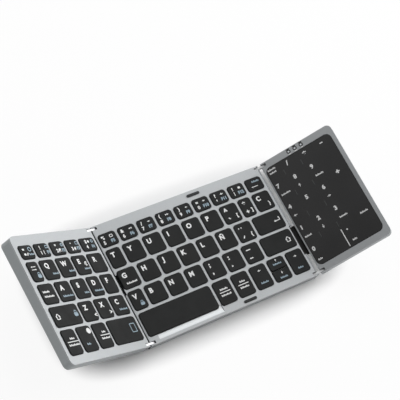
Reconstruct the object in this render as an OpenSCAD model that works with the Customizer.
// Folding keyboard in three sections: a middle section with a wing hinged at each end.
// The left wing carries keys and the right wing a touch panel. Both are drawn partly raised.
// Each section is drawn in its own frame: its top plane is z = 0 and its front edge y = 0.
// The underside slopes, so the whole keyboard is turned by that slope to lie flat on its feet.

/* [Sections] */
// Depth of every section, front to rear
depth = 98; // [92:0.5:110]
// Width of the middle section
middle_w = 150; // [149:0.5:170]
// Width of the left wing, hinge edge to outer edge
left_w = 87; // [80:0.5:88]
// Width of the right wing, hinge edge to outer edge
right_w = 62; // [40:0.5:62.5]
// Height of the body at its front edge
front_h = 7.5; // [7.2:0.1:10]
// Height of the body at its rear edge
rear_h = 9.5; // [9:0.1:12]
// Radius of the wings' outer corners
corner_r = 4; // [1:0.5:6]

/* [Pose] */
// Angle that the left wing is raised by, from flat
left_raise = 30; // [0:1:90]
// Angle that the right wing is raised by, from flat
right_raise = 37; // [0:1:90]

/* [Casing] */
// Thickness of the top frames
frame_t = 1.2; // [1:0.1:1.5]
// Thickness of the side walls
wall = 1.2; // [1:0.1:1.6]
// Thickness of the floors
floor_t = 1; // [0.8:0.1:1.2]
// Front rim, from the front edge to the keys
front_rim = 6; // [5.6:0.1:8]
// Rear rim, from the keys to the rear edge
rear_rim = 7.75; // [7:0.25:9]
// Rim at the outer edge of the left wing
left_outer_rim = 3.1; // [2.5:0.1:5]
// Rim at the hinge edge of the left wing
left_inner_rim = 2.8; // [2:0.1:4]
// Rim at the left edge of the middle section
middle_left_rim = 1.1; // [1:0.1:2]
// Rim at the right edge of the middle section
middle_right_rim = 3.3; // [3.2:0.1:5]
// Width of the casing wall that shows beside the middle frame, at its right edge
end_strip = 1.1; // [0.9:0.1:1.2]
// Groove between that wall and the middle frame
groove = 0.3; // [0.2:0.05:0.5]
// Start of the thumb scoop in front of the space bar, from the middle section's left edge
scoop_from = 8; // [6:0.5:20]
// Width of the thumb scoop's sloping front
scoop_slant = 2; // [1:0.1:2.5]
// Depth of the thumb scoop
scoop_h = 0.6; // [0.3:0.1:0.8]
// Bevel on the top edges that pass each other at the hinges
edge_ease = 0.4; // [0.3:0.05:0.6]

/* [Keys] */
// Web of the frame between two keys
web = 1.8; // [1.5:0.1:2.2]
// Gap between a cap and the frame around it
key_gap = 0.3; // [0.25:0.05:0.4]
// Height of the caps above the frame
key_raise = 0.8; // [0.4:0.1:0.85]
// How far a key goes down
key_travel = 1.2; // [0.8:0.1:1.3]
// Corner radius of a cap
cap_r = 2.2; // [1.5:0.1:3]
// Height of a cap's skirt below the top of the frame
cap_skirt = 1.2; // [1:0.1:1.3]
// Thickness of a cap's top and sides
cap_t = 1; // [0.8:0.1:1.2]
// Step round a cap's top edge
cap_step = 0.4; // [0.2:0.1:0.6]
// Front to rear size of the bottom row's holes
bottom_row_d = 19.25; // [15:0.25:20]
// Front to rear size of the letter rows' holes
letter_row_d = 15.6; // [13:0.1:16]
// Front to rear size of the number row's holes
number_row_d = 11; // [9:0.25:12]
// Width of a letter key's hole
letter_w = 15.35; // [14:0.05:15.5]
// Width of a function key's hole in the number row
number_w = 14.5; // [13:0.1:14.6]
// Width of a modifier key's hole
modifier_w = 14.85; // [13:0.05:15]
// Width of the space bar's hole
space_w = 61.3; // [50:0.1:62]
// Width of the left shift key's hole
shift_w = 28.3; // [24:0.1:29]
// Length of the middle section's key rows that these widths are for
middle_row_l = 145.6; // [140:0.1:150]
// Length of the left wing's key rows that these widths are for
left_row_l = 81.1; // [78:0.1:84]
// Gap between the two half-height arrow keys
arrow_gap = 0.5; // [0.4:0.1:1]

/* [Hinges] */
// Gap between the middle section and the left wing, unfolded
left_gap = 2; // [1.8:0.1:3]
// Gap between the middle section and the right wing, unfolded
right_gap = 3.7; // [2.5:0.1:4]
// Gap between the top planes with a wing folded over
folded_gap = 2; // [2:0.05:2.3]
// Distance of each pivot from its section's hinge edge
pivot_inset = 2.4; // [2.2:0.1:3]
// Radius of the links' round ends
link_r = 1.6; // [1.3:0.1:1.7]
// Thickness of the links
link_t = 1.6; // [1.2:0.1:1.8]
// Distance of the links from the front and rear faces
link_edge = 1.2; // [1.1:0.1:1.6]
// Radius of the hinge pins
pin_r = 0.6; // [0.5:0.05:0.7]
// Radius of the pins' heads
pin_head_r = 1.1; // [0.9:0.05:1.2]
// Thickness of the pins' heads
pin_head_t = 0.4; // [0.3:0.05:0.5]
// Length of wall that holds each pin's far end
pin_seat = 1.6; // [1.2:0.1:2]

/* [Touch panel] */
// Rim at the hinge edge of the right wing
panel_inner_rim = 1.3; // [1.2:0.1:3]
// Rim at the outer edge of the right wing
panel_outer_rim = 3.4; // [2.5:0.1:5]
// Rim in front of the touch panel
panel_front_rim = 5.6; // [5.4:0.1:8]
// Rim behind the touch panel
panel_rear_rim = 5.8; // [5.4:0.1:8]
// Corner radius of the touch panel
panel_r = 4.5; // [2:0.5:6]
// How far the glass lies below the frame's top
glass_sink = 0.1; // [0:0.05:0.2]
// Thickness of the sensor board under the glass
sensor_t = 0.8; // [0.6:0.1:1]

/* [Inside] */
// Thickness of the steel plates under the keys
plate_t = 0.3; // [0.2:0.05:0.4]
// Thickness of the contact membranes
membrane_t = 0.2; // [0.15:0.05:0.3]
// Thickness of the rubber sheets that carry the domes
sheet_t = 0.2; // [0.15:0.05:0.3]
// Radius of a rubber dome's foot
dome_r = 2.4; // [2.2:0.1:2.6]
// Distance of the battery and the main board from the middle line
centre_gap = 7.6; // [5:0.2:20]
// Width of the battery, front to rear
battery_w = 34; // [20:1:36]
// Thickness of the battery
battery_t = 2.2; // [1.5:0.1:2.4]
// Width of the main board, front to rear
board_w = 34; // [20:1:36]
// Thickness of the main board
board_t = 0.8; // [0.6:0.1:1]
// Diameter of the closing magnets
magnet_d = 5; // [3:0.5:5.5]
// Thickness of the closing magnets
magnet_t = 1.2; // [0.8:0.1:1.3]

/* [Fittings] */
// Length of a rubber closing pad
pad_l = 11.5; // [8:0.5:16]
// Width of a rubber closing pad
pad_w = 2.3; // [1.5:0.1:2.8]
// Height of a rubber closing pad above the frame
pad_h = 0.6; // [0.3:0.1:1.4]
// Radius of the round rubber feet
foot_r = 4; // [3:0.5:5]
// Height of the rubber feet
foot_h = 0.8; // [0.5:0.1:1.5]
// Distance of the feet from the edges
foot_inset = 10; // [8:0.5:14]
// Radius of the casing screws' shanks
screw_r = 0.75; // [0.6:0.05:0.8]
// Radius of the casing screws' heads
screw_head_r = 1.4; // [1.2:0.1:1.5]
// Thickness of the casing screws' heads
screw_head_t = 0.6; // [0.4:0.05:0.7]
// Length of the casing screws, from the underside to the tip
screw_l = 4.6; // [4:0.1:5]
// Width of the charging port's shell
port_w = 9; // [8:0.1:10]
// Height of the charging port's shell
port_h = 3.2; // [2.8:0.1:3.2]
// Length of the charging port's shell
port_l = 7.5; // [6.5:0.1:8]
// Distance of the charging port from the middle section's right edge
port_from_right = 38; // [30:1:50]
// Spacing of the indicator lights
light_pitch = 5.4; // [4:0.1:7]

/* [Hidden] */
$fn = 48;
eps = 0.01;

// Clearances
slide_gap = 0.2;    // links in their slots, and other pieces that only pass each other
turn_gap = 0.3;     // round the links' ends as they turn
pin_gap = 0.04;     // pins in the links' bores
seat_gap = 0.02;    // pins and boards in their seats
inner_gap = 0.4;    // inner pieces from the casing's walls
screw_gap = 0.15;   // screws in the floor's holes
board_gap = 0.3;    // boards and battery under the steel plate

// The sections lie on a slope that the two body heights set.
slope = atan((rear_h - front_h) / depth);

// Hinges: the pivots' depth gives the folded gap, and a link joins two pivots.
left_link = 2 * pivot_inset + left_gap;
right_link = 2 * pivot_inset + right_gap;
left_drop = (left_link - folded_gap) / 2;
right_drop = (right_link - folded_gap) / 2;
slot_l = pivot_inset + link_r + turn_gap;
slot_w = link_t + 2 * slide_gap;
slot_y = link_edge - slide_gap;
block_l = slot_l + 1.5;
block_w = slot_y + slot_w + pin_seat;
pin_l = block_w;

// Flex cables: the left one leaves the middle section through a window in its rim.
left_cable_y = 41;
left_cable_w = 16.5;
right_cable_y = 18.5;
right_cable_w = 25;
cable_t = 0.4;
window_l = 2.4;
scoop_shelf = 1.8;

// Layers under the keys, as heights of their top faces
cap_bottom = -cap_skirt;
stem_bottom = cap_bottom - 0.2;
sheet_top = cap_bottom - key_travel - 0.3;
membrane_top = sheet_top - sheet_t;
plate_top = membrane_top - membrane_t;
plate_bottom = plate_top - plate_t;
stem_r = 1.2;
dome_h = stem_bottom - sheet_top - 0.1;

// Front to rear place and size of row i, counted from the front: the rows share the depth between the rims
row_share = (depth - front_rim - rear_rim - 4 * web) / (bottom_row_d + 3 * letter_row_d + number_row_d);
function row_d(i) = row_share * (i == 0 ? bottom_row_d : i == 4 ? number_row_d : letter_row_d);
function row_y(i) = front_rim + (i > 0 ? row_d(0) + web : 0) + max(i - 1, 0) * (row_d(1) + web);

// Places and widths of a row's holes. The widths grow with the section, by its share of the length
// that they are for, and the last key takes what the listed ones leave.
function key_starts(widths, from) =
    [for (i = 0, x = from; i <= len(widths); x = x + (i < len(widths) ? widths[i] : 0) + web, i = i + 1) x];
function key_spans(widths, from, to, row_l) =
    let (fitted = widths * (to - from) / row_l, s = key_starts(fitted, from))
    [for (i = [0 : len(widths)]) [s[i], i < len(widths) ? fitted[i] : to - s[i]]];
function repeat(value, count) = [for (i = [1 : count]) value];

// A first key narrowed by the stagger of its row, and the other uneven widths
upper_first_w = 11.9;
home_first_w = 15.2;
narrow_w = 11.5;
arrow_w = 15.45;
left_number_first_w = 13.7;
left_upper_first_w = 11.1;
left_home_w = 13.5;
left_bottom_first_w = 13.9;

middle_from = middle_left_rim;
middle_to = middle_w - middle_right_rim;
MIDDLE_ROWS = [
    key_spans(concat([space_w], repeat(modifier_w, 3), [arrow_w]), middle_from, middle_to, middle_row_l),
    key_spans(concat([upper_first_w], repeat(letter_w, 6)), middle_from, middle_to, middle_row_l),
    key_spans(concat([home_first_w], repeat(letter_w, 6)), middle_from, middle_to, middle_row_l),
    key_spans(concat([upper_first_w], repeat(letter_w, 6), [narrow_w]), middle_from, middle_to, middle_row_l),
    key_spans(repeat(number_w, 8), middle_from, middle_to, middle_row_l)
];
left_from = left_outer_rim;
left_to = left_w - left_inner_rim;
LEFT_ROWS = [
    key_spans(concat([left_bottom_first_w], repeat(modifier_w, 2)), left_from, left_to, left_row_l),
    key_spans(concat([shift_w], repeat(letter_w, 2)), left_from, left_to, left_row_l),
    key_spans(concat([home_first_w], repeat(letter_w, 2), [left_home_w]), left_from, left_to, left_row_l),
    key_spans(concat([left_upper_first_w], repeat(letter_w, 3)), left_from, left_to, left_row_l),
    key_spans(concat([left_number_first_w], repeat(number_w, 3)), left_from, left_to, left_row_l)
];
ARROW = 4;

// Where the raised wings reach, for centring the whole keyboard on its origin
function reach(w, link, drop, raise) =
    -pivot_inset + link * cos(raise / 2) + (w - pivot_inset) * cos(raise) + (rear_h - drop) * sin(raise);
left_reach = reach(left_w, left_link, left_drop, left_raise);
right_reach = reach(right_w, right_link, right_drop, right_raise);
centre_x = (middle_w + right_reach - left_reach) / 2;
centre_y = depth / 2;
lift = front_h * cos(slope) + foot_h;

// Frames of the sections

module on_slope() {
    translate([-centre_x, -centre_y, lift]) rotate([slope, 0, 0]) children();
}
module on_left_link() {
    on_slope() translate([pivot_inset, 0, -left_drop]) rotate([0, left_raise / 2, 0]) children();
}
module on_right_link() {
    on_slope() translate([middle_w - pivot_inset, 0, -right_drop])
        rotate([0, -right_raise / 2, 0]) children();
}
// The left wing's own x runs from its outer edge at 0 to its hinge edge at left_w.
module on_left_wing() {
    on_left_link() translate([-left_link, 0, 0]) rotate([0, left_raise / 2, 0])
        translate([pivot_inset - left_w, 0, left_drop]) children();
}
// The right wing's own x runs from its hinge edge at 0 to its outer edge at right_w.
module on_right_wing() {
    on_right_link() translate([right_link, 0, 0]) rotate([0, -right_raise / 2, 0])
        translate([-pivot_inset, 0, right_drop]) children();
}

// Shapes that repeat

module rounded(w, d, r) {
    translate([r, 0]) square([w - 2 * r, d]);
    translate([0, r]) square([w, d - 2 * r]);
    for (x = [r, w - r], y = [r, d - r]) translate([x, y]) circle(r);
}
// Outline of a wing, square at the hinge edge x = 0 and rounded at the outer edge, drawn in by inset
module wing_outline(w, inset = 0) {
    r = max(corner_r - inset, 0.4);
    to = w - inset;
    translate([inset, inset]) square([to - inset - r, depth - 2 * inset]);
    translate([inset, inset + r]) square([to - inset, depth - 2 * inset - 2 * r]);
    for (y = [inset + r, depth - inset - r]) translate([to - r, y]) circle(r);
}
// Space between the sloping underside, raised by up, and the height top
module wedge(w, up, top) {
    rotate([90, 0, 90]) linear_extrude(w)
        polygon([[-eps, up - front_h], [depth + eps, up - rear_h], [depth + eps, top], [-eps, top]]);
}
// Places children on the underside, square to it, pointing down
module under(x, y) {
    translate([x, y, -front_h - (rear_h - front_h) * y / depth]) rotate([180 - slope, 0, 0]) children();
}
// Puts children at the front of a section, and mirrored at its rear
module front_and_rear() {
    children();
    translate([0, depth, 0]) mirror([0, 1, 0]) children();
}
module along_y(r, l) {
    rotate([-90, 0, 0]) cylinder(r = r, h = l);
}

// Hinges, drawn for a hinge edge at x = 0 with the section on the side of positive x

module slot_cut(drop) {
    bottom = drop + link_r + turn_gap;
    front_and_rear() translate([-eps, slot_y, -bottom]) cube([slot_l + eps, slot_w, bottom + eps]);
}
module hinge_block() {
    front_and_rear() cube_between([0, 0, -rear_h], [block_l, block_w, -frame_t]);
}
module cube_between(a, b) {
    translate(a) cube(b - a);
}
module pin_cut(drop) {
    front_and_rear() translate([pivot_inset, 0, -drop]) {
        translate([0, -eps, 0]) along_y(pin_r + seat_gap, pin_l + seat_gap + eps);
        translate([0, -eps, 0]) along_y(pin_head_r + seat_gap, pin_head_t + seat_gap + eps);
    }
}
module hinge_pin(drop) {
    front_and_rear() translate([pivot_inset, 0, -drop]) {
        along_y(pin_r, pin_l);
        along_y(pin_head_r, pin_head_t);
    }
}
module cable_cut(drop, y, w) {
    reach = pivot_inset + cable_t + turn_gap;
    cube_between([-eps, y - turn_gap, -drop - pivot_inset - cable_t - turn_gap],
        [reach, y + w + turn_gap, -drop + turn_gap]);
}
module link_pair(length) {
    front_and_rear() difference() {
        translate([0, link_edge, 0]) union() {
            along_y(link_r, link_t);
            translate([length, 0, 0]) along_y(link_r, link_t);
            translate([0, 0, -link_r]) cube([length, link_t, 2 * link_r]);
        }
        for (x = [0, length]) translate([x, link_edge - eps, 0]) along_y(pin_r + pin_gap, link_t + 2 * eps);
    }
}
// The stretch of cable between two sections: it lies as far under the pivots as they are set in
module cable_bridge(length, y, w) {
    end_gap = 0.2;
    translate([end_gap, y, -pivot_inset - cable_t]) cube([length - 2 * end_gap, w, cable_t]);
}

// Keys

module key_hole(span, y, d) {
    translate([span[0], y, -frame_t - eps]) linear_extrude(frame_t + 2 * eps)
        rounded(span[1], d, cap_r + key_gap);
}
module key_holes(rows) {
    for (i = [0 : len(rows) - 1]) for (span = rows[i]) key_hole(span, row_y(i), row_d(i));
}
// One cap in a hole w wide and d deep, with a hollow underside and a stem that stands on its dome
module cap(x, y, w, d) {
    cw = w - 2 * key_gap;
    cd = d - 2 * key_gap;
    translate([x + key_gap, y + key_gap, 0]) {
        difference() {
            union() {
                translate([0, 0, cap_bottom]) linear_extrude(key_raise / 2 - cap_bottom)
                    rounded(cw, cd, cap_r);
                translate([cap_step, cap_step, 0]) linear_extrude(key_raise)
                    rounded(cw - 2 * cap_step, cd - 2 * cap_step, cap_r - cap_step);
            }
            translate([cap_t, cap_t, cap_bottom - eps])
                cube([cw - 2 * cap_t, cd - 2 * cap_t, key_raise - cap_t - cap_bottom + eps]);
        }
        translate([cw / 2, cd / 2, stem_bottom])
            cylinder(r = stem_r, h = key_raise - cap_t - stem_bottom + eps);
    }
}
module caps(rows, i, from, to) {
    for (k = [from : to]) cap(rows[i][k][0], row_y(i), rows[i][k][1], row_d(i));
}
// A dome is drawn as an open collar that its key's stem sinks into
module dome(x, y) {
    translate([x, y, sheet_top - eps]) difference() {
        cylinder(r1 = dome_r, r2 = dome_r - 0.3, h = dome_h + eps);
        translate([0, 0, eps]) cylinder(r = stem_r + key_gap, h = dome_h + eps);
    }
}
module domes(rows, split = -1) {
    for (i = [0 : len(rows) - 1], k = [0 : len(rows[i]) - 1]) {
        span = rows[i][k];
        if (i == 0 && k == split) {
            for (y = [half_d / 2, row_d(0) - half_d / 2]) dome(span[0] + span[1] / 2, front_rim + y);
        } else {
            dome(span[0] + span[1] / 2, row_y(i) + row_d(i) / 2);
        }
    }
}

// Layers that lie under the keys, from x = from to x = to

module layer(from, to, top, t) {
    translate([from, front_rim, top - t])
        cube([to - from, row_y(4) + row_d(4) - front_rim, t]);
}
// Halves of a split key, front and rear
half_d = (row_d(0) - arrow_gap + 2 * key_gap) / 2;

// Magnets stand in the rear rims, on both sides of the line where the folded wings' outer edges meet.
meeting_x = (left_w + middle_w - right_w) / 2;
folded_slack = (middle_w - left_w - right_w) / 2;
magnet_off = 20;
magnet_y = depth - wall - magnet_d / 2 - slide_gap;
left_magnet_x = magnet_off - folded_slack;
right_magnet_x = right_w - magnet_off + folded_slack;

// Casing screws stand in the rims, out of the way of the layers.
front_screw_y = 4;
rear_screw_y = depth - 4;
boss_r = 1.75;
hinge_screw = 13;
screw_sink = 0.8;
post_r = 1.3;
// The outer screws stand between the outer edges and the magnets
function screw_places(xs) = [for (x = xs, y = [front_screw_y, rear_screw_y]) [x, y]];
MIDDLE_SCREWS = screw_places([hinge_screw, meeting_x, middle_w - hinge_screw]);
LEFT_SCREWS = screw_places([left_magnet_x / 2 - boss_r, left_w - hinge_screw]);
RIGHT_SCREWS = screw_places([hinge_screw, (right_w + right_magnet_x) / 2 + boss_r]);

// Bosses hang from the frame and end just above the floor
module bosses(w, places) {
    intersection() {
        for (p = places) translate([p[0], p[1], -rear_h]) cylinder(r = boss_r, h = rear_h - frame_t / 2);
        wedge(w, floor_t + board_gap / 3, eps);
    }
}
module boss_bores(places) {
    for (p = places) under(p[0], p[1]) translate([0, 0, -screw_l - slide_gap])
        cylinder(r = screw_r + seat_gap, h = screw_l + slide_gap);
}
module screw_holes(places) {
    for (p = places) under(p[0], p[1]) {
        translate([0, 0, -floor_t - 1]) cylinder(r = screw_r + screw_gap, h = floor_t + 1 + eps);
        translate([0, 0, -screw_sink]) cylinder(r = screw_head_r + screw_gap, h = screw_sink + eps);
    }
}
module screws(places) {
    for (p = places) under(p[0], p[1]) {
        translate([0, 0, -screw_l]) cylinder(r = screw_r, h = screw_l - screw_sink + screw_head_t / 2);
        translate([0, 0, -screw_sink + eps]) cylinder(r = screw_head_r, h = screw_head_t);
    }
}
// Posts stand on the floor and carry the plate under the keys
module posts(w, places, top) {
    intersection() {
        for (p = places) translate([p[0], p[1], -rear_h]) cylinder(r = post_r, h = rear_h + top - seat_gap);
        wedge(w, 0, eps);
    }
}
module feet(places) {
    for (p = places) under(p[0], p[1]) cylinder(r = foot_r, h = foot_h);
}

// Middle section

module middle_shell_body() {
    difference() {
        union() {
            difference() {
                intersection() {
                    cube_between([0, 0, -rear_h], [middle_w, depth, -frame_t]);
                    wedge(middle_w, 0, eps);
                }
                intersection() {
                    cube_between([wall, wall, -rear_h], [middle_w - wall, depth - wall, eps]);
                    wedge(middle_w, floor_t, eps);
                }
            }
            cube_between([middle_w - end_strip, 0, -frame_t - eps], [middle_w, depth, 0]);
            intersection() {
                union() {
                    hinge_block();
                    translate([middle_w, 0, 0]) mirror([1, 0, 0]) hinge_block();
                }
                wedge(middle_w, 0, eps);
            }
        }
        slot_cut(left_drop);
        pin_cut(left_drop);
        cable_cut(left_drop, left_cable_y, left_cable_w);
        translate([middle_w, 0, 0]) mirror([1, 0, 0]) {
            slot_cut(right_drop);
            pin_cut(right_drop);
            cable_cut(right_drop, right_cable_y, right_cable_w);
            cube_between([-eps, right_cable_y, -right_drop], [window_l, right_cable_y + right_cable_w, eps]);
            bevel_cut();
        }
        screw_holes(MIDDLE_SCREWS);
        port_hole(seat_gap, wall + 1);
    }
}
// Posts in front of the battery and the main board, and between them
MIDDLE_POSTS = concat(
    [for (x = [0.1, 0.32, 0.68, 0.9]) [x * middle_w, 0.31 * depth]],
    [for (y = [0.12, 0.49, 0.82]) [middle_w / 2, y * depth]]
);
module middle_bottom_shell() color([0.42, 0.44, 0.45]) on_slope() {
    middle_shell_body();
    posts(middle_w, MIDDLE_POSTS, plate_bottom);
}

module scoop_cut() {
    from = front_rim - scoop_shelf - scoop_slant;
    rotate([90, 0, 90]) translate([0, 0, scoop_from]) linear_extrude(middle_from + space_w + web - scoop_from)
        polygon([
            [from, eps], [from + scoop_slant, -scoop_h], [front_rim + web, -scoop_h], [front_rim + web, eps]
        ]);
}
// Bevel along a top edge at x = 0, with the section on the side of positive x
module bevel_cut() {
    rotate([90, 0, 0]) translate([0, 0, -depth - 1]) linear_extrude(depth + 2)
        polygon([[-eps, eps], [-eps, -edge_ease], [edge_ease + eps, eps]]);
}
module middle_top_frame() color([0.72, 0.74, 0.75]) on_slope() {
    right = middle_w - end_strip - groove;
    difference() {
        union() {
            cube_between([0, 0, -frame_t], [right, depth, 0]);
            bosses(middle_w, MIDDLE_SCREWS);
        }
        key_holes(MIDDLE_ROWS);
        scoop_cut();
        bevel_cut();
        slot_cut(left_drop);
        cube_between([-eps, left_cable_y, -frame_t - eps],
            [middle_left_rim + eps, left_cable_y + left_cable_w, eps]);
        translate([middle_w, 0, 0]) mirror([1, 0, 0]) {
            slot_cut(right_drop);
            cube_between([-eps, right_cable_y, -frame_t - eps],
                [window_l, right_cable_y + right_cable_w, eps]);
        }
        boss_bores(MIDDLE_SCREWS);
    }
}
middle_layer_from = pivot_inset + cable_t + 2 * turn_gap;
middle_layer_to = middle_w - middle_layer_from;
module middle_backplate() color([0.6, 0.61, 0.62]) on_slope()
    layer(middle_layer_from, middle_layer_to, plate_top, plate_t);
module middle_membrane() color([0.8, 0.82, 0.75]) on_slope()
    layer(middle_layer_from, middle_layer_to, membrane_top, membrane_t);
module middle_domes() color([0.85, 0.85, 0.82]) on_slope() {
    layer(middle_layer_from, middle_layer_to, sheet_top, sheet_t);
    domes(MIDDLE_ROWS, ARROW);
}
board_x = middle_w / 2 + centre_gap;
board_rear = depth - rear_rim + 1.45;
chip = 7;
module main_board() color([0.1, 0.35, 0.2]) on_slope() {
    y = board_rear - board_w;
    top = plate_bottom - board_gap;
    cube_between([board_x, y, top - board_t], [middle_layer_to - 6, board_rear, top]);
    for (k = [0 : 2]) translate([board_x + (1 + 2 * k) * chip, y + chip, top - board_t - 0.8])
        cube([chip, chip, 0.8 + eps]);
}
port_x = middle_w - port_from_right;
port_z = plate_bottom - board_gap - board_t - port_h / 2;
module port_hole(grow, l) {
    translate([port_x - port_w / 2 - grow, depth - l, port_z - port_h / 2 - grow])
        cube([port_w + 2 * grow, l + eps, port_h + 2 * grow]);
}
module charging_port() color([0.7, 0.7, 0.72]) on_slope() {
    lip = 0.4;
    difference() {
        port_hole(0, port_l);
        translate([port_x - port_w / 2 + lip, depth - port_l + 1, port_z - port_h / 2 + lip])
            cube([port_w - 2 * lip, port_l, port_h - 2 * lip]);
    }
    tongue = [port_w - 2.8, port_l - 1.2, 0.6];
    translate([port_x - tongue[0] / 2, depth - port_l, port_z - tongue[2] / 2]) cube(tongue);
}
module battery() color([0.25, 0.3, 0.35]) on_slope()
    translate([middle_layer_from + 8, board_rear - battery_w - 4, plate_bottom - board_gap - battery_t])
        cube([middle_w / 2 - centre_gap - middle_layer_from - 8, battery_w, battery_t]);
module middle_hinge_pins() color([0.8, 0.8, 0.82]) on_slope() {
    hinge_pin(left_drop);
    translate([middle_w, 0, 0]) mirror([1, 0, 0]) hinge_pin(right_drop);
}
module magnet(x, y) {
    translate([x, y, -frame_t - magnet_t]) cylinder(d = magnet_d, h = magnet_t);
}
module middle_magnets() color([0.55, 0.55, 0.58]) on_slope()
    for (side = [-1, 1]) magnet(meeting_x + side * magnet_off, magnet_y);
module middle_screws() color([0.3, 0.3, 0.32]) on_slope() screws(MIDDLE_SCREWS);
module middle_feet() color([0.12, 0.12, 0.12]) on_slope()
    feet([for (x = [foot_inset, middle_w - foot_inset], y = [foot_inset, depth - foot_inset]) [x, y]]);
front_pad_y = 2.8;
rear_pad_y = depth - 3.6;
module closing_pads() color([0.2, 0.2, 0.2]) on_slope()
    for (y = [front_pad_y, rear_pad_y])
        translate([meeting_x - pad_l / 2, y - pad_w / 2, 0])
            linear_extrude(pad_h) rounded(pad_l, pad_w, pad_w / 2 - eps);

key_color = [0.2, 0.21, 0.21];
module space_bar() color(key_color) on_slope() caps(MIDDLE_ROWS, 0, 0, 0);
module middle_modifier_keys() color(key_color) on_slope() caps(MIDDLE_ROWS, 0, 1, 2);
module left_arrow_key() color(key_color) on_slope() caps(MIDDLE_ROWS, 0, 3, 3);
module up_arrow_key() color(key_color) on_slope()
    cap(MIDDLE_ROWS[0][ARROW][0], front_rim + row_d(0) - half_d, MIDDLE_ROWS[0][ARROW][1], half_d);
module down_arrow_key() color(key_color) on_slope()
    cap(MIDDLE_ROWS[0][ARROW][0], front_rim, MIDDLE_ROWS[0][ARROW][1], half_d);
module right_arrow_key() color(key_color) on_slope() caps(MIDDLE_ROWS, 0, 5, 5);
module middle_lower_keys() color(key_color) on_slope() caps(MIDDLE_ROWS, 1, 0, 6);
module right_shift_key() color(key_color) on_slope() caps(MIDDLE_ROWS, 1, 7, 7);
module middle_home_keys() color(key_color) on_slope() caps(MIDDLE_ROWS, 2, 0, 6);
module enter_key() color(key_color) on_slope() caps(MIDDLE_ROWS, 2, 7, 7);
module middle_upper_keys() color(key_color) on_slope() caps(MIDDLE_ROWS, 3, 0, 8);
module middle_number_keys() color(key_color) on_slope() caps(MIDDLE_ROWS, 4, 0, 8);

// Links and cables

module left_links() color([0.85, 0.86, 0.88]) on_left_link() mirror([1, 0, 0]) link_pair(left_link);
module left_flex_cable() color([0.15, 0.14, 0.13]) on_left_link() mirror([1, 0, 0])
    cable_bridge(left_link, left_cable_y, left_cable_w);
module right_links() color([0.85, 0.86, 0.88]) on_right_link() link_pair(right_link);
module right_flex_cable() color([0.15, 0.14, 0.13]) on_right_link()
    cable_bridge(right_link, right_cable_y, right_cable_w);

// Wings: shell and frame are drawn with the hinge edge at x = 0

module wing_shell(w, drop, cable_y, cable_w) {
    difference() {
        union() {
            difference() {
                intersection() {
                    translate([0, 0, -rear_h]) linear_extrude(rear_h - frame_t) wing_outline(w);
                    wedge(w, 0, eps);
                }
                intersection() {
                    translate([0, 0, -rear_h]) linear_extrude(rear_h + eps) wing_outline(w, wall);
                    wedge(w, floor_t, eps);
                }
            }
            intersection() {
                hinge_block();
                wedge(w, 0, eps);
            }
        }
        slot_cut(drop);
        pin_cut(drop);
        cable_cut(drop, cable_y, cable_w);
    }
}
module wing_plate(w, drop) {
    difference() {
        translate([0, 0, -frame_t]) linear_extrude(frame_t) wing_outline(w);
        bevel_cut();
        slot_cut(drop);
    }
}
module left_flip() {
    translate([left_w, 0, 0]) mirror([1, 0, 0]) children();
}
LEFT_POSTS = [for (x = [0.14, 0.5, 0.85], y = [0.18, 0.5, 0.82]) [x * left_w, y * depth]];
module left_bottom_shell() color([0.5, 0.51, 0.51]) on_left_wing() {
    difference() {
        left_flip() wing_shell(left_w, left_drop, left_cable_y, left_cable_w);
        screw_holes(LEFT_SCREWS);
    }
    posts(left_w, LEFT_POSTS, plate_bottom);
}
module left_top_frame() color([0.8, 0.82, 0.82]) on_left_wing() difference() {
    union() {
        left_flip() wing_plate(left_w, left_drop);
        bosses(left_w, LEFT_SCREWS);
    }
    key_holes(LEFT_ROWS);
    boss_bores(LEFT_SCREWS);
}
left_layer_from = wall + inner_gap;
left_layer_to = left_w - pivot_inset - cable_t - 2 * turn_gap;
module left_backplate() color([0.6, 0.61, 0.62]) on_left_wing()
    layer(left_layer_from, left_layer_to, plate_top, plate_t);
module left_membrane() color([0.8, 0.82, 0.75]) on_left_wing()
    layer(left_layer_from, left_layer_to, membrane_top, membrane_t);
module left_domes() color([0.85, 0.85, 0.82]) on_left_wing() {
    layer(left_layer_from, left_layer_to, sheet_top, sheet_t);
    domes(LEFT_ROWS);
}
module left_hinge_pins() color([0.8, 0.8, 0.82]) on_left_wing() left_flip() hinge_pin(left_drop);
module left_magnets() color([0.55, 0.55, 0.58]) on_left_wing()
    magnet(left_magnet_x, magnet_y);
module left_screws() color([0.3, 0.3, 0.32]) on_left_wing() screws(LEFT_SCREWS);
module left_feet() color([0.12, 0.12, 0.12]) on_left_wing()
    feet([for (y = [foot_inset, depth - foot_inset]) [foot_inset, y]]);
module left_modifier_keys() color(key_color) on_left_wing() caps(LEFT_ROWS, 0, 0, 2);
module left_space_key() color(key_color) on_left_wing() caps(LEFT_ROWS, 0, 3, 3);
module left_shift_key() color(key_color) on_left_wing() caps(LEFT_ROWS, 1, 0, 0);
module left_lower_keys() color(key_color) on_left_wing() caps(LEFT_ROWS, 1, 1, 3);
module caps_key() color(key_color) on_left_wing() caps(LEFT_ROWS, 2, 0, 0);
module left_home_keys() color(key_color) on_left_wing() caps(LEFT_ROWS, 2, 1, 4);
module tab_key() color(key_color) on_left_wing() caps(LEFT_ROWS, 3, 0, 0);
module left_upper_keys() color(key_color) on_left_wing() caps(LEFT_ROWS, 3, 1, 4);
module left_number_keys() color(key_color) on_left_wing() caps(LEFT_ROWS, 4, 0, 4);

// Right wing

panel_w = right_w - panel_inner_rim - panel_outer_rim;
panel_d = depth - panel_front_rim - panel_rear_rim;
light_y = depth - panel_rear_rim / 2;
light_r = 0.7;
lights_x = 24.5;

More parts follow.
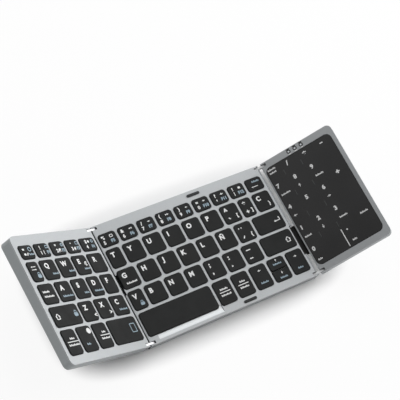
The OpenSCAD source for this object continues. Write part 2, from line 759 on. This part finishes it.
module light_posts(r, z, h) {
    for (k = [0 : 2]) translate([lights_x + k * light_pitch, light_y, z]) cylinder(r = r, h = h);
}
RIGHT_POSTS = [for (x = [0.23, 0.77], y = [0.18, 0.5, 0.82]) [x * right_w, y * depth]];
module right_bottom_shell() color([0.42, 0.43, 0.43]) on_right_wing() {
    difference() {
        wing_shell(right_w, right_drop, right_cable_y, right_cable_w);
        screw_holes(RIGHT_SCREWS);
    }
    posts(right_w, RIGHT_POSTS, -frame_t - sensor_t);
}
module panel_shape(grow) {
    translate([panel_inner_rim - grow, panel_front_rim - grow])
        rounded(panel_w + 2 * grow, panel_d + 2 * grow, panel_r + grow);
}
panel_gap = 0.15;
ledge = 0.7;
module right_top_frame() color([0.5, 0.51, 0.51]) on_right_wing() difference() {
    union() {
        wing_plate(right_w, right_drop);
        bosses(right_w, RIGHT_SCREWS);
    }
    translate([0, 0, -frame_t - eps]) linear_extrude(frame_t + 2 * eps) panel_shape(panel_gap);
    light_posts(light_r + seat_gap, -frame_t - eps, frame_t + 2 * eps);
    boss_bores(RIGHT_SCREWS);
}
module touch_panel() color([0.08, 0.08, 0.085]) on_right_wing()
    translate([0, 0, -frame_t]) linear_extrude(frame_t - glass_sink) panel_shape(0);
// The sensor board carries the glass and is glued under the frame, cut out round bosses and magnet.
module sensor_board() color([0.1, 0.3, 0.18]) on_right_wing() {
    from = wall + inner_gap;
    to = right_w - panel_outer_rim + ledge;
    difference() {
        translate([from, panel_front_rim - ledge, -frame_t - sensor_t])
            cube([to - from, panel_d + 2 * ledge, sensor_t]);
        for (p = RIGHT_SCREWS) translate([p[0], p[1], -rear_h]) cylinder(r = boss_r + slide_gap, h = rear_h);
        translate([right_magnet_x, magnet_y, -rear_h]) cylinder(r = magnet_d / 2 + slide_gap, h = rear_h);
    }
}
module right_hinge_pins() color([0.8, 0.8, 0.82]) on_right_wing() hinge_pin(right_drop);
module right_magnets() color([0.55, 0.55, 0.58]) on_right_wing() magnet(right_magnet_x, magnet_y);
module right_screws() color([0.3, 0.3, 0.32]) on_right_wing() screws(RIGHT_SCREWS);
module right_feet() color([0.12, 0.12, 0.12]) on_right_wing()
    feet([for (y = [foot_inset, depth - foot_inset]) [right_w - foot_inset, y]]);
module indicator_lights() color([0.9, 0.95, 1]) on_right_wing() light_posts(light_r, -frame_t, frame_t);

middle_bottom_shell();
middle_top_frame();
middle_backplate();
middle_membrane();
middle_domes();
main_board();
battery();
middle_hinge_pins();
middle_magnets();
middle_screws();
middle_feet();
closing_pads();
space_bar();
middle_modifier_keys();
left_arrow_key();
up_arrow_key();
down_arrow_key();
right_arrow_key();
middle_lower_keys();
right_shift_key();
middle_home_keys();
enter_key();
middle_upper_keys();
middle_number_keys();
left_links();
left_flex_cable();
right_links();
right_flex_cable();
left_bottom_shell();
left_top_frame();
left_backplate();
left_membrane();
left_domes();
left_hinge_pins();
left_magnets();
left_screws();
left_feet();
left_modifier_keys();
left_space_key();
left_shift_key();
left_lower_keys();
caps_key();
left_home_keys();
tab_key();
left_upper_keys();
left_number_keys();
right_bottom_shell();
right_top_frame();
touch_panel();
sensor_board();
right_hinge_pins();
right_magnets();
right_screws();
right_feet();
indicator_lights();
charging_port();
